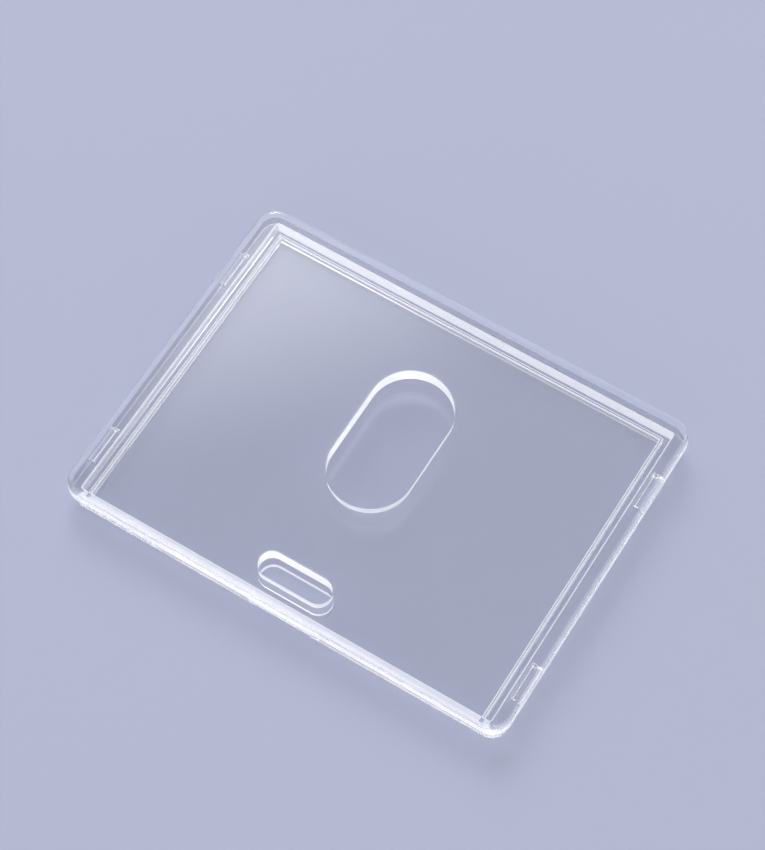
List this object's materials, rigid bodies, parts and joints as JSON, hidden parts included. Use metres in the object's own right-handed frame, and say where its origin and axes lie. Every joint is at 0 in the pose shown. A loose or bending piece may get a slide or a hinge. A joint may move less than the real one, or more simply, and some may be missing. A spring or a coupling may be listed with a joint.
{
  "type": "rigid card holder",
  "caption": "Clear rigid landscape card holder: shallow rear tray closed by a thick lift-off front cover, with a lanyard slot through both and a thumb hole in the cover.",
  "frame": {"origin": "middle of the rear face, on the surface that the holder lies on", "axes": "+X along the long side, +Y along the short side away from the lanyard slot, +Z out of the front cover"},
  "size_m": [0.0926, 0.0704, 0.007],
  "materials": {
    "clear_tray": "water-clear moulded plastic, polished",
    "clear_cover": "water-clear moulded plastic, polished"
  },
  "bodies": {
    "tray": {"rear_tray": "clear_tray"},
    "cover": {"front_cover": "clear_cover"}
  },
  "joints": [
    {"name": "cover_lift", "type": "slide", "parent": "tray", "child": "cover", "axis": [0, 0, 1], "range_m": [0, 0.03]}
  ]
}
